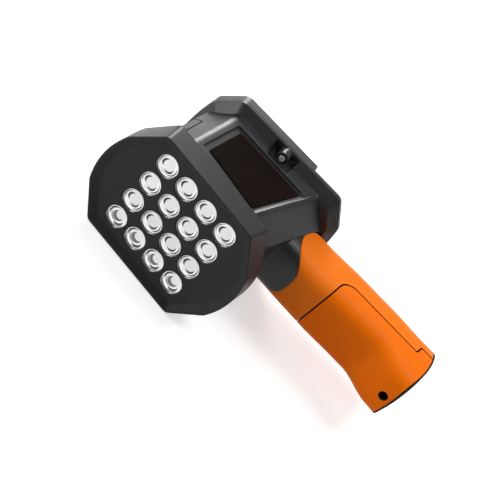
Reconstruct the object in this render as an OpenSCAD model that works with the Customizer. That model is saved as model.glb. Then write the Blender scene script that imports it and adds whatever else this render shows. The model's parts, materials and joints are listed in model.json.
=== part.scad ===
// Hand-held LED stroboscope: lamp head, display panel on its back, raked grip with a battery cover.
// It lies on its left side. X runs to the end of the grip, Y from the lamps to the display, Z up.
// Built round the middle of the lamp field; place() sets the finished part on the table.

/* [Lamp field] */
// Distance between neighbouring lamps
lens_pitch = 18; // [16.5:0.5:18.5]
// Diameter of a collimator lens
lens_d = 15.2; // [13:0.2:15.6]
// Depth of the lenses behind the lamp plate's face
lens_recess = 1.2; // [1:0.1:2]

/* [Front bezel] */
// Height of the rim in front of the lamp plate
rim_rise = 3; // [2.4:0.1:3.4]
// Radius of the bezel's front rim
rim_r = 0.8; // [0.6:0.1:1.2]
// Half width of the bezel at its front edge
bezel_half = 43.7; // [42.7:0.1:44.2]
// Growth of the bezel from its front edge to the crease
bezel_draft = 0.3; // [0.2:0.1:0.8]
// Half length of the straight sides
bezel_side = 39; // [37:0.5:40]
// Half length to the corners of the arched ends
bezel_end = 56.2; // [54.2:0.2:57]
// Half width of the arched ends
bezel_end_half = 21.7; // [20:0.5:23]
// Rise of the arched ends
bezel_crown = 4.5; // [3:0.5:6]
// Depth of the bezel from its front edge to the crease
bezel_depth = 19.7; // [19.1:0.2:21.5]
// Wall of the mouldings
wall = 3; // [2.6:0.1:3.2]

/* [Waist] */
// Step in from the side of the bezel to the waist
waist_step = 5.7; // [4.7:0.1:6.2]
// Distance from the lamp centre to the top of the waist
waist_top = 47; // [46:0.5:48]
// Depth of the label recesses
label_sink = 1.6; // [1.2:0.1:2]

/* [Rear panel] */
// Lean of the rear panel and the grip
rake = 8.5; // [7.5:0.5:9.5]
// Distance from the lenses to the rear parting line, at the lamp centre
head_depth = 101.5; // [100:0.5:104]
// Thickness of the display block
cover_rise = 9.7; // [9.3:0.1:11]
// Thickness of the panel round the keys
panel_rise = 3.2; // [2.8:0.1:3.6]
// Length of the display window
window_l = 56; // [50:1:58]
// Width of the display window
window_w = 40; // [36:1:42]
// Radius of the key cluster
keys_r = 17.5; // [16:0.5:18]
// Travel of a key
key_travel = 0.8; // [0.5:0.1:0.8]

/* [Grip] */
// Half width of the grip
grip_half = 21; // [20.5:0.5:22]
// Depth of the grip from front to back
grip_depth = 45.9; // [45:0.5:48]
// Swell of the grip's front below the neck
palm = 2.7; // [2:0.1:3.2]
// Growth of the half width below the neck
belly = 1.1; // [0.6:0.1:1.4]
// Forward flare of the toe
toe_flare = 11.2; // [9:0.2:13]
// Distance from the lamp centre to the end of the grip
grip_end = 181; // [178:1:185]
// Squareness of the grip's section: 2 is an ellipse
grip_power = 3.5; // [3:0.1:4]
// Gap of the seams round the battery cover and the port cover
seam_gap = 0.5; // [0.35:0.05:0.7]

/* [Hidden] */
clear = 0.35;
front_y = -lens_recess;
rim_y = front_y - rim_rise;
rim_lip = rim_r + 0.8;
dish_e = 6;
crease_y = rim_y + bezel_depth;
half_w = bezel_half + bezel_draft;
waist_half = bezel_half - waist_step;
face_t = lens_recess + 0.5;
board_y = 11;
board_t = 1.6;
hole_d = lens_d + 0.9;
shoulder_y = crease_y + 8.5;
grip_back = -4.7;
grip_front = grip_back - grip_depth;
grip_mid = (grip_back + grip_front) / 2;
flare_start = 136;
flare_l = 26;
dome_r = 110;
dome = [grip_end - dome_r, 88];
toe_spread = 5.5;
pad_t = 1.1;
neck_c = [82.6, 84];
neck_r = 25;
seam_x = 98.3;
grip_us = concat([25, 48, 58, 68, 78, 89, 100, 110, 120],
    [for (i = [0:6]) flare_start + flare_l * i / 6], [200]);
boss_r = 4.4;
fix_uz = [7, half_w - boss_r - 0.1];
flare_v = [-9, -2.3];
flare_d = half_w - waist_half + 0.2;
ramp_l = 4.2;
fix_v = -11.4;
seam_v = grip_mid - 3.9;
jog_u = 162.3;
jog_v = seam_v + 8.5;
screw_u = 163.3;
screw_seat = seam_v - 1.7;
flange_lo = 55;
panel_step = 29;
edge_r = 2;
key_u = 49;
pod_r = keys_r + 5;
pod_top = panel_rise + 3.3;
key_low = pod_top - 3.1;
window_u = -11;
label_z = waist_half - label_sink;
board_half = waist_half - 5.5;
tray_start = 95.6;
cell_l = 50.2;
cell_r = 7.1;
cell_gap = 0.5;
nub_h = 1;
nub_r = 2.7;
tray_u = [tray_start, tray_start + cell_l + nub_h + 4.8];
sink_l = 70;
sink_w = 64;
sink_t = 3;
fin_l = 57;
fin_h = 15;
fin_t = 1.8;
fin_pitch = 7;
flap_y = [30, 66];
flap_half = 27;
flap_t = 2.2;
barrel_r = 1.7;
barrel_half = 20;
wing_y = 3.2;
pin_r = 1;
hinge = [-waist_top + barrel_r, flap_y[0]];

function unit(v) = v / norm(v);
function sweep(d) = d - 360 * floor((d + 180) / 360);
function corner(a, b, c, r, n) =
    let (p = unit(a - b), q = unit(c - b), h = acos(p * q) / 2, m = b + unit(p + q) * r / sin(h))
    let (s = b + p * r / tan(h) - m, e = b + q * r / tan(h) - m)
    let (a0 = atan2(s[1], s[0]), da = sweep(atan2(e[1], e[0]) - a0))
    [for (i = [0:n]) m + r * [cos(a0 + da * i / n), sin(a0 + da * i / n)]];
function rounded(p, r, n = 4) =
    [for (i = [0:len(p) - 1])
        each corner(p[(i + len(p) - 1) % len(p)], p[i], p[(i + 1) % len(p)], r, n)];
function arch(e, z, c, s) =
    let (n = c > 0 ? 10 : 1)
    [for (i = [0:n]) let (k = 1 - 2 * i / n) [e + s * c * (1 - k * k), s * z * k]];
// Outline across the optical axis: straight sides, cut corners and arched ends
function outline(hw, s0, s1, e0, z0, c0, e1, z1, c1, r) = concat(
    corner([e0, z0], [s0, hw], [s1, hw], r, 4),
    corner([s0, hw], [s1, hw], [e1, z1], r, 4),
    arch(e1, z1, c1, 1),
    corner([e1, -z1], [s1, -hw], [s0, -hw], r, 4),
    corner([s1, -hw], [s0, -hw], [e0, -z0], r, 4),
    arch(e0, z0, c0, -1));
function bezel_outline(e) =
    let (s = bezel_side - 0.45 * e, x = bezel_end - e, z = bezel_end_half - 0.4 * e)
    outline(bezel_half - e, -s, s, -x, z, bezel_crown, x, z, bezel_crown, 5);
function crease_outline(e) =
    let (s = bezel_side + 2.5 - 0.45 * e, x = bezel_end + bezel_draft - e, z = bezel_end_half - 0.4 * e)
    outline(half_w - e, -s, s, -x, z, bezel_crown, x, z, bezel_crown, 5);
function waist_outline(y, e) =
    let (drop = 0.2 * (y - shoulder_y))
    outline(waist_half - e, waist_half - 22 - waist_top + 0.41 * e, 29 + drop - 0.41 * e,
        e - waist_top, 22 - 0.41 * e, 0, 46 + drop - e, 21 - 0.41 * e, 0, 7 - e);
function flange_outline(e) =
    outline(half_w - e, 0.45 * e - 37, flange_lo - 0.45 * e, e - 51, 28 - 0.4 * e, 3,
        69 - e, 27 - 0.4 * e, 3, 7);
function grip_section(flare, e, b = 0) =
    let (m = grip_mid - flare / 2, d = (grip_depth + flare) / 2 - e, h = grip_half + b - e,
        n = 2 / grip_power)
    [for (i = [0:47]) let (c = cos(i * 7.5), s = sin(i * 7.5))
        [m + d * sign(c) * pow(abs(c), n), h * sign(s) * pow(abs(s), n)]];
function ring_y(y, pts) = [for (p = pts) [p[0], y, p[1]]];
function ring_x(x, pts) = [for (p = pts) [x, p[0], p[1]]];
function ease(k) = k * k * (3 - 2 * k);
function rise(u, start, l) = ease(min(1, max(0, (u - start) / l)));
// Growth of the grip at a place along it, forward and to each side
function fuller(u) = palm * rise(u, 48, 30) * (1 - 0.25 * rise(u, 100, 20))
    + toe_flare * rise(u, flare_start, flare_l) + toe_spread * max(0, u - flare_start - flare_l) / 38;
function wider(u) = belly * rise(u, 78, 22);
function rect(x0, x1, y0, y1) = [[x0, y0], [x1, y0], [x1, y1], [x0, y1]];

// End of the grip's back line on the dome, for the overall depth
back_x = -grip_back * sin(rake) - dome[0];
back_y = head_depth + grip_back * cos(rake) - dome[1];
back_k = back_x * cos(rake) + back_y * sin(rake);
back_u = -back_k + sqrt(back_k * back_k - back_x * back_x - back_y * back_y + dome_r * dome_r);
max_y = head_depth + grip_back * cos(rake) + back_u * sin(rake);
min_x = -(bezel_end + bezel_draft + bezel_crown);
mid_x = (grip_end + min_x) / 2;
mid_y = (max_y + rim_y) / 2;
lamp_xz = [for (i = [-1.5:1:1.5], j = [-1.5:1:1.5]) lens_pitch * [i, j]];
boss_xz = [for (i = [-1, 1], j = [-1, 1]) [i * (bezel_end - 10), j * (bezel_end_half - 4)]];
post_z = waist_half - 10;
post_uz = [for (u = [-20, 23], s = [-1, 1]) [u, s * post_z]];
label_pts = [[-21, 33], [-20.4, 75.4], [35.2, 81.7], [24.5, 28.1]];
recess_pts = [[-25.5, 30], [-25, 79], [35.6, 85.2], [24.4, 25.2]];

module place() {
    translate([-mid_x, -mid_y, half_w]) children();
}
module raked() {
    translate([0, head_depth, 0]) rotate([0, 0, rake]) children();
}
module along_y(y0, y1) {
    translate([0, y1, 0]) rotate([90, 0, 0]) linear_extrude(y1 - y0) children();
}
module along_x(x0, x1) {
    translate([x0, 0, 0]) rotate([90, 0, 90]) linear_extrude(x1 - x0) children();
}
module rod_y(x, z, y0, y1, r) {
    translate([x, y0, z]) rotate([-90, 0, 0]) cylinder(h = y1 - y0, r = r, $fn = 48);
}
// Solid skin over a row of rings with equal counts
module skin(rings) {
    n = len(rings[0]);
    m = len(rings);
    polyhedron(points = [for (r = rings) each r], faces = concat(
        [[for (i = [0:n - 1]) i]],
        [[for (i = [0:n - 1]) m * n - 1 - i]],
        [for (k = [0:m - 2], i = [0:n - 1]) let (a = k * n + i, b = k * n + (i + 1) % n)
            each [[a, a + n, b + n], [a, b + n, b]]]));
}
module loft(y0, y1, a, b) {
    skin([ring_y(y0, a), ring_y(y1, b)]);
}
module shoulder(y0, y1, a, b) {
    hull() {
        along_y(y0, y0 + 0.2) polygon(a);
        along_y(y1 - 0.2, y1) polygon(b);
    }
}

// Lamp head

module front_bezel() {
    color([0.13, 0.13, 0.14]) place() difference() {
        union() {
            difference() {
                skin(concat(
                    [for (k = [0:4]) let (a = k * 22.5)
                        ring_y(rim_y + rim_r * (1 - cos(a)), bezel_outline(rim_r * (1 - sin(a))))],
                    [ring_y(crease_y, crease_outline(0))]));
                skin([ring_y(rim_y - 1, bezel_outline(rim_lip - (dish_e - rim_lip) / rim_rise)),
                    ring_y(front_y, bezel_outline(dish_e))]);
                along_y(front_y + face_t, crease_y + 1) polygon(bezel_outline(wall));
            }
            for (p = boss_xz) rod_y(p[0], p[1], front_y + 1, board_y, 3.6);
        }
        for (p = lamp_xz) rod_y(p[0], p[1], front_y - 1, front_y + face_t + 1, hole_d / 2);
        for (p = boss_xz) rod_y(p[0], p[1], board_y - 8, board_y + 1, 1.25);
    }
}
module lens_shape() {
    r = lens_d / 2;
    rotate([-90, 0, 0]) rotate_extrude($fn = 48) polygon([
        [0, 1.3], [0.47 * r, 1.3], [0.53 * r, 0.1], [0.86 * r, 0], [r, 0.25], [r, 1.8],
        [0.93 * r, 2], [0.55 * r, board_y], [3, board_y], [3, board_y - 2.6], [0, board_y - 3.4]]);
}
module collimators() {
    color([0.86, 0.88, 0.9]) place()
        for (p = lamp_xz) translate([p[0], 0, p[1]]) lens_shape();
}
module led_emitters() {
    color([0.95, 0.9, 0.6]) place()
        for (p = lamp_xz) translate([p[0] - 1.75, board_y - 0.9, p[1] - 1.75]) cube([3.5, 0.9, 3.5]);
}
module led_board() {
    color([0.85, 0.86, 0.86]) place() difference() {
        along_y(board_y, board_y + board_t) polygon(bezel_outline(wall + 1));
        for (p = boss_xz) rod_y(p[0], p[1], board_y - 1, board_y + board_t + 1, 1.5);
    }
}
module board_screws() {
    color([0.7, 0.7, 0.72]) place() for (p = boss_xz) {
        rod_y(p[0], p[1], board_y + board_t, board_y + board_t + 1.7, 2.4);
        rod_y(p[0], p[1], board_y - 6.5, board_y + board_t + 0.5, 1.2);
    }
}
module heat_sink() {
    y0 = board_y + board_t;
    color([0.62, 0.63, 0.65]) place() {
        translate([-sink_l / 2, y0, -sink_w / 2]) cube([sink_l, sink_t, sink_w]);
        for (i = [-4:4]) translate([4 - sink_l / 2, y0 + sink_t - 1, i * fin_pitch - fin_t / 2])
            cube([fin_l, fin_h + 2, fin_t]);
    }
}

// Housing

module waist_solid(e) {
    loft(shoulder_y - 0.2, head_depth + 14, waist_outline(shoulder_y, e), waist_outline(head_depth + 14, e));
}
module grip_zone(e) {
    intersection() {
        raked() along_x(30, 110) {
            polygon(grip_section(0, -e));
            polygon(grip_section(palm + 3, -e));
        }
        union() {
            translate([neck_c[0], neck_c[1], -60]) cylinder(h = 120, r = neck_r + e, $fn = 96);
            translate([neck_c[0], neck_c[1] - 60, -60]) cube([60, 120, 120]);
        }
    }
}
module flap_band(d0, d1, half) {
    w = waist_top;
    k = half - 22;
    polygon([[d0 - w, -22], [d0 - w, 22], [d0 - w + k, half], [d1 - w + k, half],
        [d1 - w, 22], [d1 - w, -22], [d1 - w + k, -half], [d0 - w + k, -half]]);
}
module flap_window(e) {
    y0 = flap_y[0];
    y1 = flap_y[1] + e;
    b = flap_half + e;
    r = 4 + e;
    f = y0 + wing_y - 2.6 * e;
    h = barrel_half + e;
    polygon(concat(corner([y0, -b], [y1, -b], [y1, b], r, 6), corner([y1, -b], [y1, b], [y0, b], r, 6),
        [[f, b], [f, h], [y0, h], [y0, -h], [f, -h], [f, -b]]));
}
module hinge_rod(half, r) {
    translate([hinge[0], hinge[1], -half]) cylinder(h = 2 * half, r = r, $fn = 32);
}
module pocket() {
    inner = waist_half - 1.6;
    raked() difference() {
        along_y(-18, -3.2) polygon(rounded(
            [[-1, inner], [16.5, inner], [18.5, half_w + 6], [-7, half_w + 6]], 2.5));
        rod_y(fix_uz[0], fix_uz[1], fix_v, 0, boss_r);
    }
    raked() rod_y(fix_uz[0], fix_uz[1], fix_v - 1, 1, 1.5);
}
module label_recess() {
    a = recess_pts[2];
    b = recess_pts[3];
    translate([0, 0, label_z]) linear_extrude(8) polygon(rounded(recess_pts, 1.6, 3));
    translate([a[0], a[1], label_z]) rotate([0, 0, atan2(b[1] - a[1], b[0] - a[0])])
        rotate([90, 0, 90]) translate([0, 0, 1]) linear_extrude(norm(a - b) - 2)
            polygon([[-2, 0], [0, 0], [ramp_l, label_sink], [ramp_l, 8], [-2, 8]]);
}
module main_housing() {
    color([0.14, 0.14, 0.15]) place() difference() {
        union() {
            difference() {
                union() {
                    shoulder(crease_y, shoulder_y, crease_outline(0), waist_outline(shoulder_y, 0));
                    along_y(crease_y - 2.6, crease_y + 1) polygon(bezel_outline(wall + 0.2));
                    intersection() {
                        union() {
                            waist_solid(0);
                            for (s = [-1, 1]) raked() rod_y(fix_uz[0], s * fix_uz[1], fix_v, 0, boss_r);
                            raked() loft(flare_v[0], flare_v[1], flange_outline(flare_d), flange_outline(0));
                            raked() along_y(-2.5, 0) polygon(flange_outline(0));
                            intersection() {
                                grip_body();
                                raked() translate([20, -90, -60]) cube([58, 120, 120]);
                            }
                        }
                        raked() translate([-90, -150, -60]) cube([200, 150, 120]);
                    }
                }
                shoulder(crease_y - 4, shoulder_y, crease_outline(wall + 3),
                    waist_outline(shoulder_y, wall + 0.5));
                waist_solid(wall + 0.5);
                raked() along_x(22, 100) polygon(grip_section(0, wall));
            }
            along_y(flap_y[0] - 5, flap_y[1] + 5) flap_band(2.2, 6, flap_half + 4);
        }
        grip_zone(0.25);
        intersection() {
            along_y(flap_y[0] - 5, flap_y[1] + 5) flap_band(-5, flap_t + 0.5, flap_half + seam_gap);
            along_x(-waist_top - 9, -waist_top + 9) flap_window(seam_gap);
        }
        hinge_rod(barrel_half + clear, barrel_r + 0.4);
        translate([hinge[0] - barrel_r - 2, hinge[1] - barrel_r - 0.4, -barrel_half - clear])
            cube([barrel_r + 2, barrel_r + 0.4, 2 * (barrel_half + clear)]);
        hinge_rod(barrel_half + 4, pin_r + 0.02);
        for (z = [-9, 9]) translate([-waist_top, 46, z]) rotate([0, 90, 0])
            cylinder(h = 12, r = 4.05, $fn = 48);
        for (m = [0, 1]) mirror([0, 0, m]) {
            pocket();
            label_recess();
        }
    }
}
module side_label(m) {
    color([0.05, 0.05, 0.055]) place() mirror([0, 0, m])
        translate([0, 0, label_z]) linear_extrude(0.8) polygon(rounded(label_pts, 1.5, 3));
}
module label_right() {
    side_label(0);
}
module label_left() {
    side_label(1);
}
module port_cover() {
    color([0.12, 0.12, 0.13]) place() difference() {
        union() {
            intersection() {
                along_y(flap_y[0] - 2, flap_y[1] + 2) flap_band(0, flap_t, flap_half);
                along_x(-waist_top - 5, -waist_top + 9) flap_window(0);
            }
            hinge_rod(barrel_half, barrel_r);
        }
        hinge_rod(barrel_half + 1, pin_r + 0.06);
    }
}
module port_hinge_pin() {
    color([0.7, 0.7, 0.72]) place() hinge_rod(barrel_half + 3.5, pin_r);
}
module socket_body(z, bore) {
    translate([flap_t + 0.5 - waist_top, 46, z]) rotate([0, 90, 0]) difference() {
        union() {
            cylinder(h = 11, r = 4, $fn = 48);
            translate([-5, -5, 3.4]) cube([10, 10, 8]);
        }
        translate([0, 0, -1]) cylinder(h = 10, r = bore, $fn = 32);
    }
}
module trigger_jack() {
    color([0.1, 0.1, 0.1]) place() socket_body(-9, 1.8);
}
module charge_socket() {
    color([0.1, 0.1, 0.1]) place() {
        socket_body(9, 2.8);
        translate([flap_t + 1.5 - waist_top, 46, 9]) rotate([0, 90, 0]) cylinder(h = 9, r = 0.8, $fn = 24);
    }
}

// Rear panel

module petal(r0, r1, g) {
    intersection() {
        difference() {
            circle(r = r1, $fn = 64);
            circle(r = r0, $fn = 32);
        }
        polygon([[g, 0], [g + 40, 40], [g + 40, -40]]);
    }
}
module key_place(a) {
    translate([key_u, 0, 0]) rotate([0, -a, 0]) children();
}
module cover_slab(h) {
    skin(concat([ring_y(0, flange_outline(0))], [for (k = [0:4]) let (a = k * 22.5)
        ring_y(h - edge_r * (1 - sin(a)), flange_outline(edge_r * (1 - cos(a))))]));
}
module rear_cover() {
    top = cover_rise;
    color([0.15, 0.15, 0.16]) place() raked() difference() {
        union() {
            difference() {
                union() {
                    cover_slab(panel_rise);
                    intersection() {
                        cover_slab(top);
                        translate([-80, -1, -60]) cube([80 + panel_step, 40, 120]);
                    }
                    rod_y(key_u, 0, 0, pod_top, pod_r);
                }
                intersection() {
                    along_y(-1, top - 2) polygon(flange_outline(wall + 1));
                    translate([-80, -2, -60]) cube([78 + panel_step - 4, 40, 120]);
                }
                rod_y(key_u, 0, -1, 1.2, keys_r + 2.9);
                rod_y(key_u, 0, 0, pod_top - 1.6, keys_r + 2.1);
            }
            for (p = post_uz) rod_y(p[0], p[1], -4.4, top - 1, 3);
            for (s = [-1, 1]) rod_y(fix_uz[0], s * fix_uz[1], 0, top - 1, 3.2);
        }
        along_y(top - 1.6, top + 1)
            polygon(rounded(rect(window_u - window_l / 2 - 2, window_u + window_l / 2 + 2,
                -window_w / 2 - 2, window_w / 2 + 2), 3));
        along_y(top - 4, top + 1)
            polygon(rounded(rect(window_u - window_l / 2, window_u + window_l / 2,
                -window_w / 2, window_w / 2), 1.5));
        for (p = post_uz) rod_y(p[0], p[1], -5, 4, 1.25);
        for (s = [-1, 1]) rod_y(fix_uz[0], s * fix_uz[1], -1, 7, 1.3);
        for (a = [0:90:270]) key_place(a)
            along_y(0, pod_top + 1) petal(4, keys_r + clear, 1.7);
    }
}
module display_window() {
    color([0.2, 0.22, 0.25]) place() raked() along_y(cover_rise - 1.6, cover_rise - 0.3)
        polygon(rounded(rect(window_u - window_l / 2 - 1.8, window_u + window_l / 2 + 1.8,
            -window_w / 2 - 1.8, window_w / 2 + 1.8), 2.8));
}
module display_module() {
    u0 = window_u - window_l / 2 - 1.5;
    u1 = window_u + window_l / 2 + 1.5;
    w = window_w / 2 + 2.5;
    color([0.06, 0.06, 0.07]) place() raked() {
        along_y(3.2, cover_rise - 2.2) polygon(rect(u0, u1, -w, w));
        for (z = [-12, 12]) translate([u1 - 5, -4.4, z - 8]) cube([2.5, 8, 16]);
    }
}
module main_board() {
    color([0.07, 0.3, 0.16]) place() raked() difference() {
        along_y(-6, -4.4) polygon(outline(board_half, -23, 26, -34, board_half - 11, 0,
            27.5, board_half - 1.5, 0, 1));
        for (p = post_uz) rod_y(p[0], p[1], -7, -4, 1.5);
    }
}
module panel_screws() {
    color([0.7, 0.7, 0.72]) place() raked() for (p = post_uz) {
        rod_y(p[0], p[1], -7.7, -6, 2.4);
        rod_y(p[0], p[1], -6.5, 2, 1.2);
    }
}
module key_board() {
    color([0.07, 0.3, 0.16]) place() raked() rod_y(key_u, 0, 0, 1.2, keys_r + 2.7);
}
module key_switches() {
    color([0.2, 0.2, 0.2]) place() raked() for (a = [0:90:270]) key_place(a)
        translate([keys_r * 0.6 - 2.5, 1.2, -2.5]) cube([5, 0.9, 5]);
}
module key_cap(a) {
    color([0.3, 0.31, 0.33]) place() raked() key_place(a) {
        along_y(key_low + 0.5, pod_top + 1) petal(4 + clear, keys_r, 1.7 + clear * 1.4);
        along_y(key_low, pod_top - 1.6 - 0.3) petal(3.4, keys_r + 1.2, 0.7);
    }
}
module key_lower() {
    key_cap(0);
}
module key_right() {
    key_cap(90);
}
module key_upper() {
    key_cap(180);
}
module key_left() {
    key_cap(270);
}
module housing_screws() {
    color([0.75, 0.75, 0.77]) place() raked() for (s = [-1, 1])
        translate([fix_uz[0], fix_v, s * fix_uz[1]]) difference() {
            union() {
                rod_y(0, 0, -1.7, 0, 2.2);
                rod_y(0, 0, -0.5, 6 - fix_v, 1.25);
            }
            translate([-0.4, -2.7, -1.5]) cube([0.8, 1.7, 3]);
            translate([-1.5, -2.7, -0.4]) cube([3, 1.7, 0.8]);
        }
}

// Grip

module grip_body() {
    raked() skin([for (u = grip_us) ring_x(u, grip_section(fuller(u), 0, wider(u)))]);
}
module end_dome(e) {
    translate([dome[0], dome[1], 0]) sphere(r = dome_r - e, $fn = 96);
}
// Side view of the battery cover: a level top seam, a seam along the grip and a step near the end
module cover_zone(e, h) {
    s = sin(rake);
    c = cos(rake);
    f = grip_front - 30;
    m = seam_v + e;
    p = [[(seam_x - e + f * s) / c, f], [(seam_x - e + m * s) / c, m], [220, m], [220, f]];
    q = [[jog_u - 8 - e, m], [jog_u - e, m], [jog_u + 2 - e, jog_v + e], [220, jog_v + e]];
    raked() {
        translate([0, 0, -h / 2]) linear_extrude(h)
            polygon(concat([p[0]], corner(p[0], p[1], p[2], 12, 8), [p[2], p[3]]));
        for (z = [9 - e, -40]) translate([0, 0, z]) linear_extrude(31 + e)
            polygon(concat([[q[0][0], m - 2]], corner(q[0], q[1], q[2], 2, 4), corner(q[1], q[2], q[3], 2, 4),
                [q[3], [220, m - 2]]));
    }
}
module battery_room() {
    raked() {
        along_x(30, 92) polygon(grip_section(0, 5.5));
        along_x(90, tray_u[1] + 0.4) polygon(grip_section(0, wall));
    }
}
module screw_path(r, v0, v1) {
    raked() rod_y(screw_u, 0, v0, v1, r);
}
module grip_shell() {
    color([0.94, 0.42, 0.06]) place() difference() {
        union() {
            intersection() {
                grip_body();
                end_dome(pad_t + 0.2);
                union() {
                    translate([neck_c[0], neck_c[1], -60]) cylinder(h = 120, r = neck_r, $fn = 96);
                    translate([neck_c[0], neck_c[1] - 60, -60]) cube([160, 120, 120]);
                }
            }
            raked() along_x(48, 92) polygon(grip_section(0, wall + 0.3));
        }
        cover_zone(seam_gap, 120);
        battery_room();
        screw_path(2.5, seam_v - 1, grip_mid + 11);
        screw_path(1.8, grip_mid + 10, grip_mid + 14);
    }
}
module battery_cover() {
    color([0.95, 0.43, 0.07]) place() difference() {
        intersection() {
            grip_body();
            end_dome(pad_t);
            cover_zone(0, 120);
        }
        battery_room();
        screw_path(3.1, grip_front - 30, screw_seat);
        screw_path(1.58, screw_seat - 1, grip_mid + 20);
    }
}
module cover_end_pad() {
    color([0.08, 0.08, 0.08]) place() difference() {
        intersection() {
            grip_body();
            end_dome(0);
            cover_zone(0, 120);
        }
        end_dome(pad_t);
    }
}
module grip_end_pad() {
    color([0.08, 0.08, 0.08]) place() difference() {
        intersection() {
            grip_body();
            end_dome(0);
        }
        end_dome(pad_t + 0.2);
        cover_zone(seam_gap, 120);
        raked() translate([0, -150, -60]) cube([130, 200, 120]);
    }
}
module cover_screw() {
    color([0.55, 0.56, 0.58]) place() difference() {
        union() {
            screw_path(2.8, screw_seat - 2.6, screw_seat - 0.1);
            screw_path(1.5, screw_seat - 0.5, grip_mid + 8);
        }
        raked() translate([screw_u - 0.4, screw_seat - 3.6, -1.9]) cube([0.8, 2.2, 3.8]);
        raked() translate([screw_u - 1.9, screw_seat - 3.6, -0.4]) cube([3.8, 2.2, 0.8]);
    }
}
module screw_insert() {
    color([0.78, 0.62, 0.28]) place() difference() {
        screw_path(2.45, grip_mid + 1, grip_mid + 11);
        screw_path(1.6, grip_mid, grip_mid + 12);
    }
}
module cell_place() {
    raked() for (v = [-1, 1], z = [-1, 1])
        translate([tray_u[0] + 2.4, grip_mid + v * (cell_r + cell_gap), z * (cell_r + cell_gap)]) children();
}
module battery_tray() {
    room = 2 * (cell_r + cell_gap);
    color([0.1, 0.1, 0.1]) place() raked() difference() {
        along_x(tray_u[0], tray_u[1]) polygon(grip_section(0, wall + 0.6));
        along_x(tray_u[0] + 2, tray_u[1] - 2)
            polygon(rounded(rect(grip_mid - 2 * room, grip_mid + room, -room, room), cell_r - 1));
        translate([tray_u[0] - 1, grip_front, -grip_half])
            cube([tray_u[1] - tray_u[0] + 2, grip_mid - 2 - grip_front, 2 * grip_half]);
    }
}
module battery_cells() {
    color([0.2, 0.35, 0.6]) place() cell_place() rotate([0, 90, 0]) {
        cylinder(h = cell_l, r = cell_r, $fn = 48);
        cylinder(h = cell_l + nub_h, r = nub_r, $fn = 32);
    }
}
module battery_contacts() {
    color([0.78, 0.78, 0.8]) place() {
        cell_place() translate([-0.4, -4, -4]) cube([0.4, 8, 8]);
        cell_place() translate([cell_l + nub_h, -4, -4]) cube([0.4, 8, 8]);
    }
}

// Piece to draw

front_bezel();
collimators();
led_emitters();
led_board();
board_screws();
heat_sink();
main_housing();
label_right();
label_left();
port_cover();
port_hinge_pin();
trigger_jack();
charge_socket();
rear_cover();
display_window();
display_module();
main_board();
panel_screws();
key_board();
key_switches();
key_upper();
key_lower();
key_left();
key_right();
housing_screws();
grip_shell();
battery_cover();
cover_end_pad();
grip_end_pad();
cover_screw();
screw_insert();
battery_tray();
battery_cells();
battery_contacts();
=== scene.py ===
"""Hand-held LED stroboscope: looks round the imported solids."""
import json
import math

import bmesh
import bpy
from mathutils import Matrix, Vector
from mathutils.geometry import intersect_point_line

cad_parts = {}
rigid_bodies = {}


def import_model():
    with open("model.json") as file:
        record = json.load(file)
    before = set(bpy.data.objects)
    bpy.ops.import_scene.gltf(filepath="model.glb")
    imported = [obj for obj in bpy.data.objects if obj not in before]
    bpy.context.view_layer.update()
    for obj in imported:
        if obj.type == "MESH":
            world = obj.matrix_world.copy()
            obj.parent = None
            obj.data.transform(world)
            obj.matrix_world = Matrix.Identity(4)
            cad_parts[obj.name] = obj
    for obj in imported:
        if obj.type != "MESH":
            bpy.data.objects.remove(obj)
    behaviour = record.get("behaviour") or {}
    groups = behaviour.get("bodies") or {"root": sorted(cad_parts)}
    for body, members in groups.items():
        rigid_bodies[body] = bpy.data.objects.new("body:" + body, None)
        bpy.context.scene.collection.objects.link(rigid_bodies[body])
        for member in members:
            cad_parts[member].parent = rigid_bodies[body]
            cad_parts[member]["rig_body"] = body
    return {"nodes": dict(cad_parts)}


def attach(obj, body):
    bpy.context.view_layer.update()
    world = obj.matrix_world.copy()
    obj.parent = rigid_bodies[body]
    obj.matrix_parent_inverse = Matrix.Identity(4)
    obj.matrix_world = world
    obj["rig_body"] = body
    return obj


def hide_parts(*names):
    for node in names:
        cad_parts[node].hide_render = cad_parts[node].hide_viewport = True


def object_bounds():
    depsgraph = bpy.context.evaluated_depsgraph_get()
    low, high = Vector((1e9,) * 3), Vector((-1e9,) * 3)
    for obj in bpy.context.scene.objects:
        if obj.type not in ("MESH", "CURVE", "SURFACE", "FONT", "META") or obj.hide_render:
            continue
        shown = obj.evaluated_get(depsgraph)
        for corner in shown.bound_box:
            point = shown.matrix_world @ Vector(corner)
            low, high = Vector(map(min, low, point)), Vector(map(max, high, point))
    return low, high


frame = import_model()
cad_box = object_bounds()

# Sizes of the solids that the pieces here follow, in millimetres from the middle of the lamps.
# MID is the origin of the part's frame, seen from there.
MM = 0.001
MID = (60.0, 59.3734, -44.0)
RAKE = math.radians(8.5)
HEAD_DEPTH = 101.5
PITCH = 18.0
LENS_R, LENS_SEAT = 7.6, 0.7
COVER_RISE, WINDOW_U, SCREEN_DEPTH = 9.7, -11.0, 2.2
KEY_U, POD_TOP, KEY_RISE = 49.0, 6.5, 1.0

# Waist with the labels' recesses, rear flange and its two screws
WAIST_START, WAIST_END, WAIST_SIDE = 17.0, 92.0, 30.0
FLANGE_FRONT, FLANGE_BACK, FLANGE_INSIDE, FLANGE_LONG = -10.0, -1.0, 41.0, 6.0
FIX_U, FIX_V, FIX_Z, FIX_HEAD, FIX_RIM = 7.0, -11.4, 39.5, 1.5, 2.1

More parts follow.
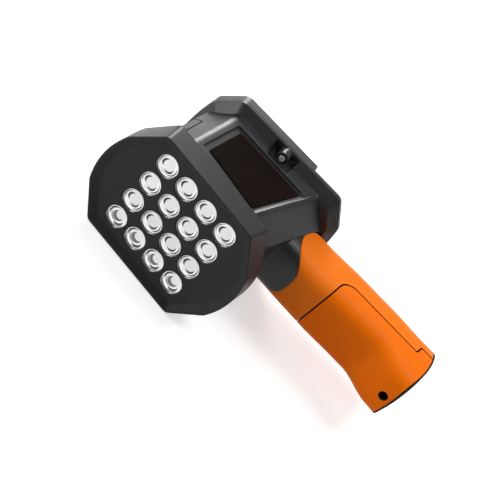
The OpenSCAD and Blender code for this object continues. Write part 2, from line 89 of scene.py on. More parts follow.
# Battery cover and its screw. The seam runs along the grip and steps back near its end.
# PAST_FRONT and PAST_END carry its lines beyond the grip.
SCREW_U, SCREW_BORE_R, BORE_SHADE_REACH = 163.3, 3.1, 0.35
SEAM_X, SEAM_V, SEAM_R, SEAM_GAP = 98.3, -31.55, 12.0, 0.5
JOG_U, JOG_V, JOG_R, JOG_LEAD, JOG_RUN = 162.3, -23.05, 2.0, 8.0, 2.0
PAST_FRONT, PAST_END = 60.0, 220.0

# Port cover, and how far the painted shade on the walls and lips of each seam reaches
FLAP_START, FLAP_END, FLAP_HALF, FLAP_R = 30.0, 66.0, 27.0, 4.0
COVER_SHADE_REACH, FLAP_SHADE_REACH, HOUSING_SHADE_REACH = 0.34, 0.27, 0.47

# Widths of rounded edges
SHELL_EDGE, FLANGE_EDGE, BEZEL_EDGE, FLAP_EDGE, GRIP_EDGE = 0.45, 1.2, 0.35, 0.25, 0.32
LABEL_EDGE, PAN_EDGE, SCREW_EDGE, KEY_EDGE = 0.2, 0.6, 0.15, 0.3


def at(x, y, z):
    """A point seen from the middle of the lamps, in metres in the part's frame."""
    return Vector((x - MID[0], y - MID[1], z - MID[2])) * MM


def raked(u, v, z):
    """A point of the leaning panel and grip: u along the grip, v out of the display."""
    c, s = math.cos(RAKE), math.sin(RAKE)
    return at(u * c - v * s, HEAD_DEPTH + u * s + v * c, z)


def from_frame(p):
    """The reverse of at(): the place in millimetres of a point of the part's frame."""
    return p.x / MM + MID[0], p.y / MM + MID[1], p.z / MM + MID[2]


def from_raked(p):
    """The reverse of raked(): u, v, z in millimetres of a point of the part's frame."""
    x, y, z = from_frame(p)
    y -= HEAD_DEPTH
    c, s = math.cos(RAKE), math.sin(RAKE)
    return x * c + y * s, y * c - x * s, z


# Materials

DRIFT_SCALE, GLOSS_SCALE, GLOSS_SWING = 38.0, 160.0, 0.05
METAL_SWING, METAL_BUMP = 0.07, 0.00002
LENS_GRAIN, PAINTED_MARK_EDGE = 900.0, 0.035


class Nodes:
    """A material's node tree with short calls. Scales are per metre, depths in metres."""

    def __init__(self, name):
        self.mat = bpy.data.materials.new(name)
        self.mat.use_nodes = True
        self.tree = self.mat.node_tree
        self.tree.nodes.clear()
        self.out = self.add("ShaderNodeOutputMaterial")
        self.shader = self.add("ShaderNodeBsdfPrincipled")
        self.link(self.shader.outputs[0], self.out.inputs[0])
        self.coord = self.add("ShaderNodeTexCoord").outputs["Object"]

    def add(self, kind, **values):
        node = self.tree.nodes.new(kind)
        for key, value in values.items():
            setattr(node, key, value)
        return node

    def link(self, a, b):
        self.tree.links.new(a, b)

    def put(self, **values):
        for key, value in values.items():
            self.shader.inputs[key.replace("_", " ")].default_value = value

    def noise(self, scale, detail=2.0, rough=0.5):
        node = self.add("ShaderNodeTexNoise")
        node.inputs["Scale"].default_value = scale
        node.inputs["Detail"].default_value = detail
        node.inputs["Roughness"].default_value = rough
        self.link(self.coord, node.inputs["Vector"])
        return node.outputs["Fac"]

    def ramp(self, fac, low, high, a=0.3, b=0.7):
        node = self.add("ShaderNodeValToRGB")
        node.color_ramp.elements[0].position = a
        node.color_ramp.elements[1].position = b
        node.color_ramp.elements[0].color = (*low, 1)
        node.color_ramp.elements[1].color = (*high, 1)
        self.link(fac, node.inputs[0])
        return node.outputs[0]

    def span(self, fac, low, high):
        node = self.add("ShaderNodeMapRange")
        node.inputs["To Min"].default_value = low
        node.inputs["To Max"].default_value = high
        self.link(fac, node.inputs["Value"])
        return node.outputs[0]

    def bump(self, height, strength, distance):
        node = self.add("ShaderNodeBump")
        node.inputs["Strength"].default_value = strength
        node.inputs["Distance"].default_value = distance
        self.link(height, node.inputs["Height"])
        self.link(node.outputs[0], self.shader.inputs["Normal"])


def moulded(name, low, high, rough, grain=3500.0, depth=0.00002, strength=0.25, spec=0.5, ior=1.5):
    """Moulded plastic or rubber: slow drift of colour, fine grain, gloss that varies a little."""
    n = Nodes(name)
    n.link(n.ramp(n.noise(DRIFT_SCALE, 3.0), low, high), n.shader.inputs["Base Color"])
    gloss = n.span(n.noise(GLOSS_SCALE, 3.0), rough - GLOSS_SWING, rough + GLOSS_SWING)
    n.link(gloss, n.shader.inputs["Roughness"])
    n.bump(n.noise(grain, 2.0, 0.6), strength, depth)
    n.put(Specular_IOR_Level=spec, IOR=ior)
    return n.mat


def metal(name, low, high, rough, scale=900.0):
    """Plain metal with a fine grain."""
    n = Nodes(name)
    n.link(n.ramp(n.noise(scale, 3.0), low, high), n.shader.inputs["Base Color"])
    gloss = n.span(n.noise(scale * 0.4, 2.0), rough - METAL_SWING, rough + METAL_SWING)
    n.link(gloss, n.shader.inputs["Roughness"])
    n.bump(n.noise(scale * 3.0), 0.1, METAL_BUMP)
    n.put(Metallic=1.0)
    return n.mat


def clear(name, tint, rough, ior):
    """Clear plastic that is a little less smooth in places."""
    n = Nodes(name)
    n.put(Base_Color=(*tint, 1), IOR=ior, Transmission_Weight=1.0)
    n.link(n.span(n.noise(300.0), rough, rough + 0.02), n.shader.inputs["Roughness"])
    return n.mat


def glowing(name, low, high, strength):
    """A lit sign of the display."""
    n = Nodes(name)
    color = n.ramp(n.noise(500.0), low, high)
    n.link(color, n.shader.inputs["Base Color"])
    n.link(color, n.shader.inputs["Emission Color"])
    n.put(Emission_Strength=strength, Roughness=0.5)
    return n.mat


def lens_silver(name, tone, painted_marks):
    """Silvered optic: bright metal with painted dark crescents that stand in for reflections and shade, each
    outside one circle and inside another.

    A painted mark is the centre and radius of the first circle, those of the second, in lens radii, and its
    strength.
    """
    n = Nodes(name)
    flat = n.add("ShaderNodeVectorMath", operation="MULTIPLY")
    flat.inputs[1].default_value = (1.0, 0.0, 1.0)
    n.link(n.coord, flat.inputs[0])

    def disc(centre, radius, rising):
        far = n.add("ShaderNodeVectorMath", operation="DISTANCE")
        far.inputs[1].default_value = (centre[0] * LENS_R * MM, 0.0, centre[1] * LENS_R * MM)
        n.link(flat.outputs[0], far.inputs[0])
        edge = n.add("ShaderNodeMapRange", interpolation_type="SMOOTHSTEP")
        edge.inputs["From Min"].default_value = (radius - PAINTED_MARK_EDGE) * LENS_R * MM
        edge.inputs["From Max"].default_value = (radius + PAINTED_MARK_EDGE) * LENS_R * MM
        edge.inputs["To Min"].default_value = 0.0 if rising else 1.0
        edge.inputs["To Max"].default_value = 1.0 if rising else 0.0
        n.link(far.outputs["Value"], edge.inputs["Value"])
        return edge.outputs[0]

    shade = None
    for first, first_r, second, second_r, strength in painted_marks:
        both = n.add("ShaderNodeMath", operation="MULTIPLY")
        n.link(disc(first, first_r, True), both.inputs[0])
        n.link(disc(second, second_r, False), both.inputs[1])
        part = n.span(both.outputs[0], 0.0, strength)
        if shade is None:
            shade = part
            continue
        most = n.add("ShaderNodeMath", operation="MAXIMUM")
        n.link(shade, most.inputs[0])
        n.link(part, most.inputs[1])
        shade = most.outputs[0]
    # Painted reflections and shade: the bright metal is mixed towards the dark crescent colour where the
    # marks lie
    mix = n.add("ShaderNodeMix", data_type="RGBA")
    n.link(shade, mix.inputs["Factor"])
    low, high = (tone - 0.03,) * 2 + (tone - 0.015,), (tone + 0.03,) * 2 + (tone + 0.045,)
    n.link(n.ramp(n.noise(LENS_GRAIN, 3.0), low, high), mix.inputs[6])
    n.link(n.ramp(n.noise(LENS_GRAIN, 3.0), (0.035, 0.035, 0.04), (0.06, 0.06, 0.065)), mix.inputs[7])
    n.link(mix.outputs[2], n.shader.inputs["Base Color"])
    n.link(n.span(n.noise(360.0, 2.0), 0.14, 0.26), n.shader.inputs["Roughness"])
    n.put(Metallic=1.0)
    return n.mat


BLACK = moulded("black_shell", (0.014, 0.014, 0.0155), (0.0175, 0.0175, 0.019), 0.38, spec=0.34)
FACE = moulded("black_face", (0.0105, 0.0098, 0.0112), (0.013, 0.0122, 0.0138), 0.47, spec=0.22)
FLAP = moulded("black_flap", (0.02, 0.02, 0.0215), (0.0245, 0.0245, 0.026), 0.4, spec=0.36)
REAR = moulded("grey_rear", (0.034, 0.034, 0.037), (0.041, 0.041, 0.044), 0.44, spec=0.4)
SATIN = {"grain": 2600.0, "depth": 0.000012, "strength": 0.2, "ior": 1.33}
# One orange plastic in two copies: the grip shell's is paler and yellower as painted light, the battery
# cover's redder as painted shade
ORANGE_PAINTED_LIT = moulded("orange_shell_painted_lit", (0.93, 0.192, 0.007), (0.95, 0.203, 0.009), 0.46, spec=0.15, **SATIN)
ORANGE_PAINTED_SHADE = moulded("orange_cover_painted_shade", (0.93, 0.168, 0.0014), (0.95, 0.178, 0.0018), 0.44, spec=0.12, **SATIN)
# Real rubber of the end pads; the same dark rubber is also painted shade on the walls and lips of the seams
# and in the cover screw's bore
RUBBER_AND_SEAM_SHADE = moulded("end_rubber", (0.005, 0.005, 0.005), (0.008, 0.008, 0.008), 0.62, spec=0.2, ior=1.3)
LABEL = moulded("label_film", (0.0082, 0.0048, 0.004), (0.0098, 0.006, 0.005), 0.42,
                grain=900.0, depth=0.000004, strength=0.1, spec=0.3, ior=1.06)
KEY = moulded("key_rubber", (0.032, 0.033, 0.036), (0.042, 0.043, 0.046), 0.6)
DARK = moulded("inner_plastic", (0.012, 0.012, 0.012), (0.018, 0.018, 0.018), 0.5)
BOARD = moulded("board_mask", (0.012, 0.11, 0.045), (0.018, 0.15, 0.06), 0.35)
WHITE_BOARD = moulded("lamp_board", (0.62, 0.63, 0.63), (0.7, 0.7, 0.7), 0.4)
PHOSPHOR = moulded("phosphor", (0.75, 0.62, 0.2), (0.82, 0.7, 0.26), 0.6)
SLEEVE = moulded("cell_sleeve", (0.02, 0.05, 0.16), (0.03, 0.07, 0.2), 0.35)
LCD = moulded("lcd_ground", (0.002, 0.002, 0.0025), (0.0035, 0.0035, 0.004), 0.25)
STEEL = metal("nickel_steel", (0.55, 0.55, 0.56), (0.66, 0.66, 0.67), 0.28)
ALUMINIUM = metal("aluminium", (0.52, 0.53, 0.55), (0.6, 0.61, 0.63), 0.4)
SILVER = metal("bright_screw", (0.8, 0.8, 0.81), (0.88, 0.88, 0.89), 0.3)
BLACK_STEEL = metal("black_screw", (0.03, 0.03, 0.032), (0.05, 0.05, 0.052), 0.4)
BRASS = metal("brass", (0.55, 0.38, 0.13), (0.66, 0.46, 0.17), 0.3)
# Silvered lenses with dark crescents painted in as reflections and shade
LENS_PAINTED_REFLECTIONS = lens_silver("lens_silver", 0.73, [
    ((0.0, 0.0), -1.0, (0.03, 0.02), 0.56, 0.17), ((0.02, 0.0), 0.52, (-0.30, 0.02), 0.42, 0.98),
    ((0.0, 0.02), 0.52, (0.20, -0.205), 0.42, 0.97), ((0.0, 0.0), 0.78, (0.24, -0.06), 0.66, 0.97),
    ((0.0, 0.0), 0.83, (-0.26, 0.03), 0.68, 0.95)])
# A brighter copy for the row of lenses at the lowest z, brightened as painted light, with its own painted
# reflections and shade
LENS_SIDE_PAINTED_LIGHT_AND_REFLECTIONS = lens_silver("lens_silver_side_painted_light", 0.87, [
    ((0.0, 0.0), -1.0, (0.03, 0.02), 0.56, 0.17), ((0.12, 0.24), 0.40, (0.0, 0.0), 0.50, 0.86),
    ((0.0, 0.0), 0.55, (-0.10, -0.12), 0.50, 0.9), ((0.0, 0.0), 0.84, (-0.03, -0.05), 0.86, 0.85),
    ((0.0, 0.0), 0.72, (-0.32, 0.12), 0.58, 0.95), ((0.0, 0.05), 0.70, (0.30, -0.30), 0.48, 0.95)])
WINDOW = clear("window_clear", (0.82, 0.84, 0.86), 0.02, 1.45)

NODE_MATERIAL = {
    "front_bezel": FACE, "main_housing": BLACK, "rear_cover": REAR, "port_cover": FLAP,
    "collimators": LENS_PAINTED_REFLECTIONS, "led_emitters": PHOSPHOR, "led_board": WHITE_BOARD, "heat_sink": ALUMINIUM,
    "board_screws": STEEL, "panel_screws": STEEL, "housing_screws": SILVER, "cover_screw": BLACK_STEEL,
    "port_hinge_pin": STEEL, "label_right": LABEL, "label_left": LABEL, "trigger_jack": DARK,
    "charge_socket": DARK, "display_window": WINDOW, "display_module": LCD, "main_board": BOARD,
    "key_board": BOARD, "key_switches": DARK, "key_upper": KEY, "key_lower": KEY, "key_left": KEY,
    "key_right": KEY, "grip_shell": ORANGE_PAINTED_LIT, "battery_cover": ORANGE_PAINTED_SHADE, "cover_end_pad": RUBBER_AND_SEAM_SHADE,
    "grip_end_pad": RUBBER_AND_SEAM_SHADE, "screw_insert": BRASS, "battery_tray": DARK, "battery_cells": SLEEVE,
    "battery_contacts": STEEL}

for name, material in NODE_MATERIAL.items():
    data = frame["nodes"][name].data
    data.materials.clear()
    data.materials.append(material)


# Pieces

# Rounding: welding distance in metres, angles in degrees between faces that are flat and that are sharp
WELD, FLAT_ANGLE, SHARP_ANGLE = 6e-6, 0.6, 27.0
# The search for a near edge reaches so many widths, to edges this much across rather than in line
ROOM_REACH, SIDE_BY_SIDE = 2.1, 0.7
# Where the room is at most the first and over the second share of the width, the edge gets the second
NARROW_STEPS = ((9.0, 1.0), (1.0, 0.5), (0.5, 0.25), (0.25, 0.08))
BEZEL_CREASE, LENS_CREASE, FACING = 14.0, 50.0, 0.5
LAMPS = 4


def finish_mesh(mesh, sharp):
    """Smooth shading with creases at edges over the sharp angle."""
    mesh.polygons.foreach_set("use_smooth", [True] * len(mesh.polygons))
    mesh.set_sharp_from_angle(angle=math.radians(sharp))


def piece(name, mesh, material, body):
    """An object of the scene that moves with a body."""
    obj = bpy.data.objects.new(name, mesh)
    bpy.context.scene.collection.objects.link(obj)
    if not mesh.materials:
        mesh.materials.append(material)
    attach(obj, body)
    return obj


def nearest(p, a, b):
    """The point between a and b that is nearest to p."""
    return a.lerp(b, min(max(intersect_point_line(p, a, b)[1], 0.0), 1.0))


def room(edge, sharp, reach):
    """How far an edge can be rounded before it meets a sharp edge beside it in its own faces."""
    a, b = (vert.co for vert in edge.verts)
    middle, along, half = (a + b) / 2, (b - a).normalized(), (b - a).length / 2
    least = reach
    for face in edge.link_faces:
        for other in face.edges:
            c, d = (vert.co for vert in other.verts)
            if ((c + d) / 2 - middle).length > half + (d - c).length / 2 + reach or other not in sharp:
                continue
            if any(vert in edge.verts for vert in other.verts):
                continue
            for p, q, r in ((a, c, d), (b, c, d), (middle, c, d), (c, a, b), (d, a, b)):
                across = nearest(p, q, r) - p
                if abs(across.dot(along)) < SIDE_BY_SIDE * across.length:
                    least = min(least, across.length)
    return least / 2


def on_waist_side(edge):
    """Edges round a label's recess, which look best at one width."""
    places = [from_frame(vert.co) for vert in edge.verts]
    return all(abs(z) > WAIST_SIDE and WAIST_START < y < WAIST_END for x, y, z in places)


def fitted(groups, sharp, one_width):
    """The groups of edges, with those in narrow places at a smaller width, unless one_width() keeps them."""
    split = []
    for some, offset in groups:
        spare = {}
        for e in some:
            kept = one_width and one_width(e)
            spare[e] = offset * 2 if kept else room(e, sharp, ROOM_REACH * offset * MM) / MM
        for high, low in NARROW_STEPS:
            split.append(([e for e in some if low * offset < spare[e] <= high * offset], low * offset))
    return split


def softened(node, width, segments=3, pick=None, second=None, crease=32.0, one_width=None):
    """A copy of a solid with its edges rounded, in the solid's place.

    pick() splits the sharp edges into groups with their own widths. second is a second material and
    the test of a face that gets it. one_width() tells which edges keep their width in narrow places.
    """
    source = frame["nodes"][node]
    bm = bmesh.new()
    bm.from_mesh(source.data)
    bmesh.ops.remove_doubles(bm, verts=bm.verts, dist=WELD)
    bmesh.ops.dissolve_limit(bm, angle_limit=math.radians(FLAT_ANGLE), verts=bm.verts, edges=bm.edges)
    least = math.radians(SHARP_ANGLE)
    edges = [e for e in bm.edges if len(e.link_faces) == 2 and e.calc_face_angle(0.0) > least]
    groups = pick(edges, width) if pick else [(edges, width)]
    for some, offset in fitted(groups, set(edges), one_width):
        some = [e for e in some if e.is_valid]
        bmesh.ops.bevel(bm, geom=some, offset=offset * MM, offset_type="OFFSET", segments=segments,
                        profile=0.5, affect="EDGES", clamp_overlap=False)
    mesh = bpy.data.meshes.new(node + "_soft")
    if second:
        mesh.materials.append(NODE_MATERIAL[node])
        mesh.materials.append(second[0])
        for face in bm.faces:
            face.material_index = int(second[1](face))
    bm.to_mesh(mesh)
    bm.free()
    finish_mesh(mesh, crease)
    obj = piece(node + "_soft", mesh, NODE_MATERIAL[node], source["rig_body"])
    weighted = obj.modifiers.new("flat_faces", "WEIGHTED_NORMAL")
    weighted.keep_sharp = True
    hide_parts(node)


def turned(profile, steps=48):
    """A shape turned about the optical axis from (radius, depth) points in millimetres."""
    bm = bmesh.new()
    rings = []
    for r, y in profile:
        if r < 1e-6:
            rings.append([bm.verts.new((0.0, y * MM, 0.0))])
            continue
        turn = [2 * math.pi * i / steps for i in range(steps)]
        rings.append([bm.verts.new((r * MM * math.cos(a), y * MM, r * MM * math.sin(a))) for a in turn])
    for a, b in zip(rings, rings[1:]):
        for i in range(steps):
            j = (i + 1) % steps
            corners = [a[i % len(a)], a[j % len(a)], b[j % len(b)], b[i % len(b)]]
            bm.faces.new(list(dict.fromkeys(corners)))
    bmesh.ops.recalc_face_normals(bm, faces=bm.faces)
    return bm


# Radius in lens radii and depth in millimetres; the ring's radius is in millimetres
LENS_PROFILE = [
    (0.0, 0.68), (0.30, 0.68), (0.50, 0.69), (0.545, 0.71), (0.565, 0.74), (0.585, 0.74), (0.605, 0.70),
    (0.66, 0.58), (0.74, 0.38), (0.83, 0.18), (0.90, 0.05), (0.95, 0.0), (0.985, 0.06), (1.0, 0.3),
    (1.0, 1.8), (0.93, 2.0), (0.55, 11.0), (0.0, 11.0)]
RING_PROFILE = [(7.68, 0.3), (7.68, -1.2), (7.8, -1.4), (7.92, -1.2), (7.92, 0.3), (7.68, 0.3)]


def turned_mesh(name, profile, material):
    """A turned shape as a mesh with its material."""
    bm = turned(profile)
    mesh = bpy.data.meshes.new(name)
    bm.to_mesh(mesh)
    bm.free()
    finish_mesh(mesh, LENS_CREASE)
    mesh.materials.append(material)
    return mesh


RING = metal("lens_ring", (0.34, 0.34, 0.35), (0.44, 0.44, 0.45), 0.2)
lens_shape = [(r * LENS_R, y) for r, y in LENS_PROFILE]
lens_mesh = turned_mesh("lens", lens_shape, LENS_PAINTED_REFLECTIONS)
side_lens_mesh = turned_mesh("lens_side", lens_shape, LENS_SIDE_PAINTED_LIGHT_AND_REFLECTIONS)
ring_mesh = turned_mesh("lens_ring", RING_PROFILE, RING)
for i in range(LAMPS):
    for j in range(LAMPS):
        for kind, mesh in (("lens", lens_mesh if j else side_lens_mesh), ("lens_ring", ring_mesh)):
            obj = piece(f"{kind}_{i + 1}_{j + 1}", mesh, None, "head")
            obj.location = at((i - (LAMPS - 1) / 2) * PITCH, LENS_SEAT, (j - (LAMPS - 1) / 2) * PITCH)
            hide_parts("collimators")


def filleted(points, radius, steps=8):
    """The line of points with its inner corners rounded."""
    line = [Vector(points[0])]
    for a, b, c in zip(points, points[1:], points[2:]):
        a, b, c = Vector(a), Vector(b), Vector(c)
        d, e = (a - b).normalized(), (c - b).normalized()
        half = d.angle(e) / 2
        middle = b + (d + e).normalized() * radius / math.sin(half)
        start, end = b + d * radius / math.tan(half) - middle, b + e * radius / math.tan(half) - middle
        sweep = start.angle_signed(end)
        for k in range(steps + 1):
            line.append(middle + Matrix.Rotation(-sweep * k / steps, 2) @ start)
    return line + [Vector(points[-1])]


def beside(lines, place, reach):
    """A test of a face: does it lie within reach of the lines, in the plane that place() puts it in."""
    def test(face):
        for vert in face.verts:
            p = Vector(place(vert.co))
            if min((nearest(p, a, b) - p).length for line in lines for a, b in zip(line, line[1:])) > reach:
                return False
        return True

    return test


def cover_seam_shade(gap):
    """The test for walls and lips of the battery cover's seam that get painted shade, gap away from the
    cover's own side.
    """
    v, after = SEAM_V + gap, JOG_V + gap
    level = [((SEAM_X - gap + w * math.sin(RAKE)) / math.cos(RAKE), w) for w in (SEAM_V - PAST_FRONT, v)]
    step = [(JOG_U - JOG_LEAD - gap, v), (JOG_U - gap, v), (JOG_U + JOG_RUN - gap, after), (PAST_END, after)]
    lines = [filleted(level + [(PAST_END, v)], SEAM_R), filleted(step, JOG_R)]
    return beside(lines, lambda co: from_raked(co)[:2], COVER_SHADE_REACH)


def flap_seam_shade(gap, reach):
    """The test for walls and lips of the port cover's seam that get painted shade, gap away from the cover's
    own side.
    """
    y, z = FLAP_END + gap, FLAP_HALF + gap
    line = filleted([(FLAP_START, z), (y, z), (y, -z), (FLAP_START, -z)], FLAP_R + gap)
    return beside([line], lambda co: from_frame(co)[1:], reach)


def in_screw_bore(face):
    """Does a face lie in the bore of the battery cover's screw, which gets painted shade."""
    places = [from_raked(vert.co) for vert in face.verts]
    return all(math.hypot(u - SCREW_U, z) <= SCREW_BORE_R + BORE_SHADE_REACH for u, v, z in places)


def bezel_side(face):
    """Does a face of the bezel look neither forward nor to the grip's end."""
    return face.normal.y > -FACING and face.normal.x < FACING


def flange_rim(edges, width):
    """The long outer edges of the rear flange, rounder than the rest."""
    soft, rest = [], []
    for e in edges:
        places = [from_raked(vert.co) for vert in e.verts]
        flange = all(FLANGE_FRONT < v < FLANGE_BACK and max(abs(z), -u) > FLANGE_INSIDE for u, v, z in places)
        (soft if flange and e.is_convex and e.calc_length() > FLANGE_LONG * MM else rest).append(e)
    return [(soft, FLANGE_EDGE), (rest, width)]


def pan_heads(edges, width):
    """The round front edges of the two screw heads."""
    rims = []
    for e in edges:
        far = []
        for vert in e.verts:
            u, v, z = from_raked(vert.co)
            far.append((math.hypot(u - FIX_U, abs(z) - FIX_Z), v))
        if min(r for r, v in far) > FIX_RIM and max(v for r, v in far) < FIX_V - FIX_HEAD:
            rims.append(e)
    return [(rims, width)]


# Walls and lips of the seams, and the cover screw's bore, get the dark rubber as painted shade
softened("main_housing", SHELL_EDGE, pick=flange_rim, second=(RUBBER_AND_SEAM_SHADE, flap_seam_shade(SEAM_GAP, HOUSING_SHADE_REACH)),
         one_width=on_waist_side)
softened("rear_cover", SHELL_EDGE)
softened("front_bezel", BEZEL_EDGE, second=(BLACK, bezel_side), crease=BEZEL_CREASE)
softened("port_cover", FLAP_EDGE, 2, second=(RUBBER_AND_SEAM_SHADE, flap_seam_shade(0.0, FLAP_SHADE_REACH)))
cover_side_shade = cover_seam_shade(0.0)
softened("grip_shell", GRIP_EDGE, 2, second=(RUBBER_AND_SEAM_SHADE, cover_seam_shade(SEAM_GAP)))
softened("battery_cover", GRIP_EDGE, 2, second=(RUBBER_AND_SEAM_SHADE, lambda face: in_screw_bore(face) or cover_side_shade(face)))
softened("label_right", LABEL_EDGE, 2)
softened("label_left", LABEL_EDGE, 2)
softened("housing_screws", PAN_EDGE, 4, pick=pan_heads)
softened("cover_screw", SCREW_EDGE, 2)
for key in ("key_upper", "key_lower", "key_left", "key_right"):
    softened(key, KEY_EDGE, one_width=lambda edge: True)

# Display and key signs, in millimetres from the middle of the window and of the keys

PRINT_T = 0.06
SCREEN_V = COVER_RISE - SCREEN_DEPTH
KEY_TOP = POD_TOP + KEY_RISE
SIGN_BAR, FINE_BAR, LETTER_BAR = 0.4, 0.35, 0.5
LETTER_STEP, NARROW_STEP, BAR_GAP = 0.9, 0.5, 0.35
FIGURE_STEP, FIGURE_SHIFT = 6.2, 0.4
SUN_A, SUN_B, SUN_R = 14.4, -14.4, 1.3
RAY_IN, RAY_OUT = 1.9, 2.6


def printed(name, outlines, place, material, body):
    """Thin raised print: every outline is a convex polygon that place() sets on its surface."""
    bm = bmesh.new()
    for outline in outlines:
        low = [bm.verts.new(place(a, b, 0.0)) for a, b in outline]
        high = [bm.verts.new(place(a, b, PRINT_T)) for a, b in outline]
        bm.faces.new(low)
        bm.faces.new(high)
        for i in range(len(low)):
            k = (i + 1) % len(low)
            bm.faces.new((low[i], low[k], high[k], high[i]))
    bmesh.ops.recalc_face_normals(bm, faces=bm.faces)
    mesh = bpy.data.meshes.new(name)
    bm.to_mesh(mesh)
    bm.free()
    piece(name, mesh, material, body)


def stroke(points, width):
    """Bars along a line of points."""
    bars = []
    for (ax, ay), (bx, by) in zip(points, points[1:]):
        far = math.hypot(bx - ax, by - ay)
        dx, dy = (bx - ax) / far * width / 2, (by - ay) / far * width / 2
        ax, ay, bx, by = ax - dx, ay - dy, bx + dx, by + dy
        bars.append([(ax - dy, ay + dx), (ax + dy, ay - dx), (bx + dy, by - dx), (bx - dy, by + dx)])
    return bars


def digit(cx, cy, w, h, t):
    """All seven bars of a figure, with mitred ends."""
    gap = t * BAR_GAP
    bars = []
    for y in (cy - h / 2, cy, cy + h / 2):
        a, b = cx - w / 2 + gap, cx + w / 2 - gap
        bars.append([(a, y), (a + t, y + t), (b - t, y + t), (b, y), (b - t, y - t), (a + t, y - t)])
    for x in (cx - w / 2, cx + w / 2):
        for low in (cy - h / 2, cy):
            a, b = low + gap, low + h / 2 - gap
            bars.append([(x, a), (x + t, a + t), (x + t, b - t), (x, b), (x - t, b - t), (x - t, a + t)])
    return bars


def box(x0, y0, x1, y1):
    """The corners of an upright rectangle."""
    return [(x0, y0), (x1, y0), (x1, y1), (x0, y1)]


def ring_of(points):
    """The points with the first one again at the end."""
    return points + points[:1]


LETTERS = {
    "F": [[(0, 0), (0, 1), (0.55, 1)], [(0, 0.52), (0.45, 0.52)]],
    "P": [[(0, 0), (0, 1), (0.55, 1), (0.55, 0.48), (0, 0.48)]],
    "M": [[(0, 0), (0, 1), (0.33, 0.45), (0.66, 1), (0.66, 0)]],
    "H": [[(0, 0), (0, 1)], [(0.55, 0), (0.55, 1)], [(0, 0.5), (0.55, 0.5)]],
    "z": [[(0, 0.62), (0.45, 0.62), (0, 0), (0.45, 0)]],
    "X": [[(0, 0), (0.6, 1)], [(0, 1), (0.6, 0)]],
    "1": [[(0.05, 0.78), (0.28, 1), (0.28, 0)]],
    "0": [[(0, 0), (0, 1), (0.55, 1), (0.55, 0), (0, 0)]]}


def words(text, x, y, h, width):
    """Bars of plain letters of height h from x, y on."""
    bars = []
    for letter in text:
        for line in LETTERS.get(letter, []):
            bars += stroke([(x + a * h, y + b * h) for a, b in line], width)
        x += h * (NARROW_STEP if letter in "1 " else LETTER_STEP)
    return bars


def on_screen(a, b, h):
    """A place on the display, a across, b up and h out of it."""
    return raked(WINDOW_U - b, SCREEN_V + h, -a)


WHITE = glowing("display_white", (0.86, 0.88, 0.9), (0.92, 0.94, 0.95), 0.55)
YELLOW = glowing("display_yellow", (0.78, 0.72, 0.03), (0.86, 0.8, 0.05), 0.5)
GREEN = glowing("display_green", (0.05, 0.42, 0.05), (0.08, 0.5, 0.08), 0.5)

figures, points = [], []
for i in range(6):
    cx = (i - 2.5) * FIGURE_STEP - FIGURE_SHIFT
    figures += digit(cx, cy=5.5, w=3.9, h=13.0, t=0.5)
    points.append(box(cx + 2.75, -1.5, cx + 3.65, -0.6))
printed("display_figures", figures + points, on_screen, WHITE, "head")
pulse = stroke(ring_of(box(-16.5, -16.6, -11.5, -12.2)), SIGN_BAR)
pulse += stroke([(-18.2, -14.4), (-16.5, -14.4)], SIGN_BAR)
pulse += stroke([(-11.5, -14.4), (-9.8, -14.4)], SIGN_BAR)
pulse += stroke([(-15.5, -15.7), (-14.8, -15.7), (-14.8, -13.1), (-13.2, -13.1), (-13.2, -15.7),
                 (-12.5, -15.7)], FINE_BAR)


def by_sun(far, turn):
    """A point at a distance and an angle from the middle of the sun sign."""
    return SUN_A + far * math.cos(turn), SUN_B + far * math.sin(turn)


sun = [[by_sun(SUN_R, k * math.pi / 8) for k in range(16)]]
for k in range(8):
    sun += stroke([by_sun(RAY_IN, k * math.pi / 4), by_sun(RAY_OUT, k * math.pi / 4)], FINE_BAR)
units = words("FPM Hz", -17.6, 18.2, 4.2, LETTER_BAR) + words("X100", -4.6, -16.6, 4.4, LETTER_BAR)
printed("display_signs", units + pulse + sun, on_screen, YELLOW, "head")
cell = stroke(ring_of(box(9.0, 18.2, 16.4, 22.0)), SIGN_BAR) + [box(16.7, 19.3, 17.5, 20.9)]
cell += [box(x, 18.9, x + 1.3, 21.3) for x in (9.7, 11.4, 13.1, 14.6)]
printed("display_battery", cell, on_screen, GREEN, "head")

SIGN = moulded("key_print", (0.62, 0.63, 0.64), (0.7, 0.7, 0.71), 0.5)
ARROW = [(9.6, -2.5), (13.0, 0.0), (9.6, 2.5)]
for key, body, turn in (("key_lower", "key_down", 0), ("key_right", "key_plus", 90),
                        ("key_upper", "key_up", 180), ("key_left", "key_minus", 270)):
    c, d = math.cos(math.radians(turn)), math.sin(math.radians(turn))
    printed(key + "_sign", [ARROW],
            lambda a, b, h: raked(KEY_U + a * c - b * d, KEY_TOP + h, a * d + b * c), SIGN, body)

# Stage, light and camera

FLOOR_R, FLOOR_DROP, FLOOR_LIFT = 8.0, 0.0003, 0.6
SKY, HORIZON_LOW, HORIZON_HIGH = 0.24, 0.12, 0.42


def seen_rays(tree):
    """1 for rays of the camera, of gloss and of transmission, 0 for the rest."""
    rays = tree.nodes.new("ShaderNodeLightPath").outputs
    shown = rays["Is Camera Ray"]
    for ray in ("Is Glossy Ray", "Is Transmission Ray"):
        most = tree.nodes.new("ShaderNodeMath")
        most.operation = "MAXIMUM"
        tree.links.new(shown, most.inputs[0])
        tree.links.new(rays[ray], most.inputs[1])
        shown = most.outputs[0]
    return shown


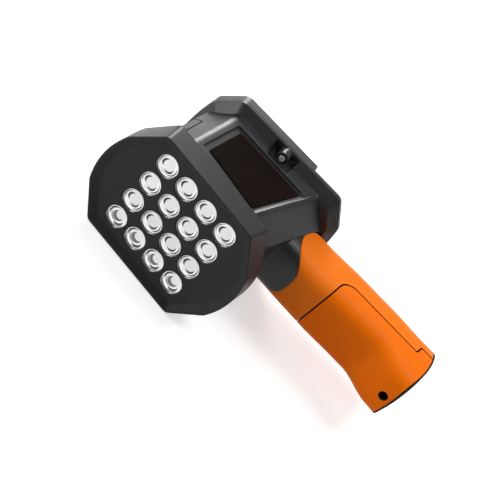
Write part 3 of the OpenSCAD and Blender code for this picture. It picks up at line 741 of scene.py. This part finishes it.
floor_nodes = Nodes("floor_paper")
floor_nodes.link(floor_nodes.ramp(floor_nodes.noise(3.0), (0.66, 0.66, 0.66), (0.68, 0.68, 0.68)),
                 floor_nodes.shader.inputs["Base Color"])
floor_nodes.put(Roughness=0.9, Emission_Color=(1, 1, 1, 1))
lift = floor_nodes.span(seen_rays(floor_nodes.tree), 0.0, FLOOR_LIFT)
floor_nodes.link(lift, floor_nodes.shader.inputs["Emission Strength"])
bm = bmesh.new()
bmesh.ops.create_circle(bm, cap_ends=True, segments=96, radius=FLOOR_R)
floor_mesh = bpy.data.meshes.new("floor")
bm.to_mesh(floor_mesh)
bm.free()
floor_mesh.materials.append(floor_nodes.mat)
floor = bpy.data.objects.new("floor", floor_mesh)
floor.location.z = cad_box[0].z - FLOOR_DROP
bpy.context.scene.collection.objects.link(floor)

world = bpy.data.worlds.new("studio")
bpy.context.scene.world = world
world.use_nodes = True
sky = world.node_tree
ground = sky.nodes["Background"]
height = sky.nodes.new("ShaderNodeSeparateXYZ")
sky.links.new(sky.nodes.new("ShaderNodeTexCoord").outputs["Generated"], height.inputs[0])
backdrop = sky.nodes.new("ShaderNodeMapRange")
for socket, value in (("From Min", HORIZON_LOW), ("From Max", HORIZON_HIGH),
                      ("To Min", 1.0), ("To Max", SKY)):
    backdrop.inputs[socket].default_value = value
sky.links.new(height.outputs["Z"], backdrop.inputs["Value"])
level = sky.nodes.new("ShaderNodeMapRange")
level.inputs["To Min"].default_value = SKY
sky.links.new(seen_rays(sky), level.inputs["Value"])
sky.links.new(backdrop.outputs[0], level.inputs["To Max"])
sky.links.new(level.outputs[0], ground.inputs["Strength"])
ground.inputs["Color"].default_value = (1.0, 1.0, 1.0, 1)


def lamp(name, place, target, size, power):
    """A soft lamp at a place that shines on a target, in metres and watts."""
    data = bpy.data.lights.new(name, "AREA")
    data.shape = "RECTANGLE"
    data.size, data.size_y = size
    data.energy = power
    obj = bpy.data.objects.new(name, data)
    obj.location = place
    obj.rotation_mode = "QUATERNION"
    obj.rotation_quaternion = (Vector(target) - Vector(place)).to_track_quat("-Z", "Y")
    bpy.context.scene.collection.objects.link(obj)


lamp("key_light", (-0.54, 1.0, 0.45), (-0.05, 0.0, 0.05), (0.4, 0.4), 7.5)
lamp("top_light", (0.3, 0.45, 1.4), (0.0, 0.0, 0.05), (0.8, 0.8), 12.0)
lamp("fill_light", (-0.9, -0.45, 0.5), (0.05, 0.0, 0.05), (0.6, 0.6), 7.0)

camera_data = bpy.data.cameras.new("camera")
camera_data.lens = 94.575
camera_data.sensor_width = 36.0
camera = bpy.data.objects.new("camera", camera_data)
right = Vector((0.638, 0.448, 0.626))
up = Vector((-0.769, 0.327, 0.549))
back = Vector((0.041, -0.832, 0.553))
eye = at(66.87, -632.1018, 453.54)
camera.matrix_world = Matrix((
    (right.x, up.x, back.x, eye.x), (right.y, up.y, back.y, eye.y),
    (right.z, up.z, back.z, eye.z), (0, 0, 0, 1)))
bpy.context.scene.collection.objects.link(camera)
bpy.context.scene.camera = camera
bpy.context.scene.view_settings.view_transform = "Standard"
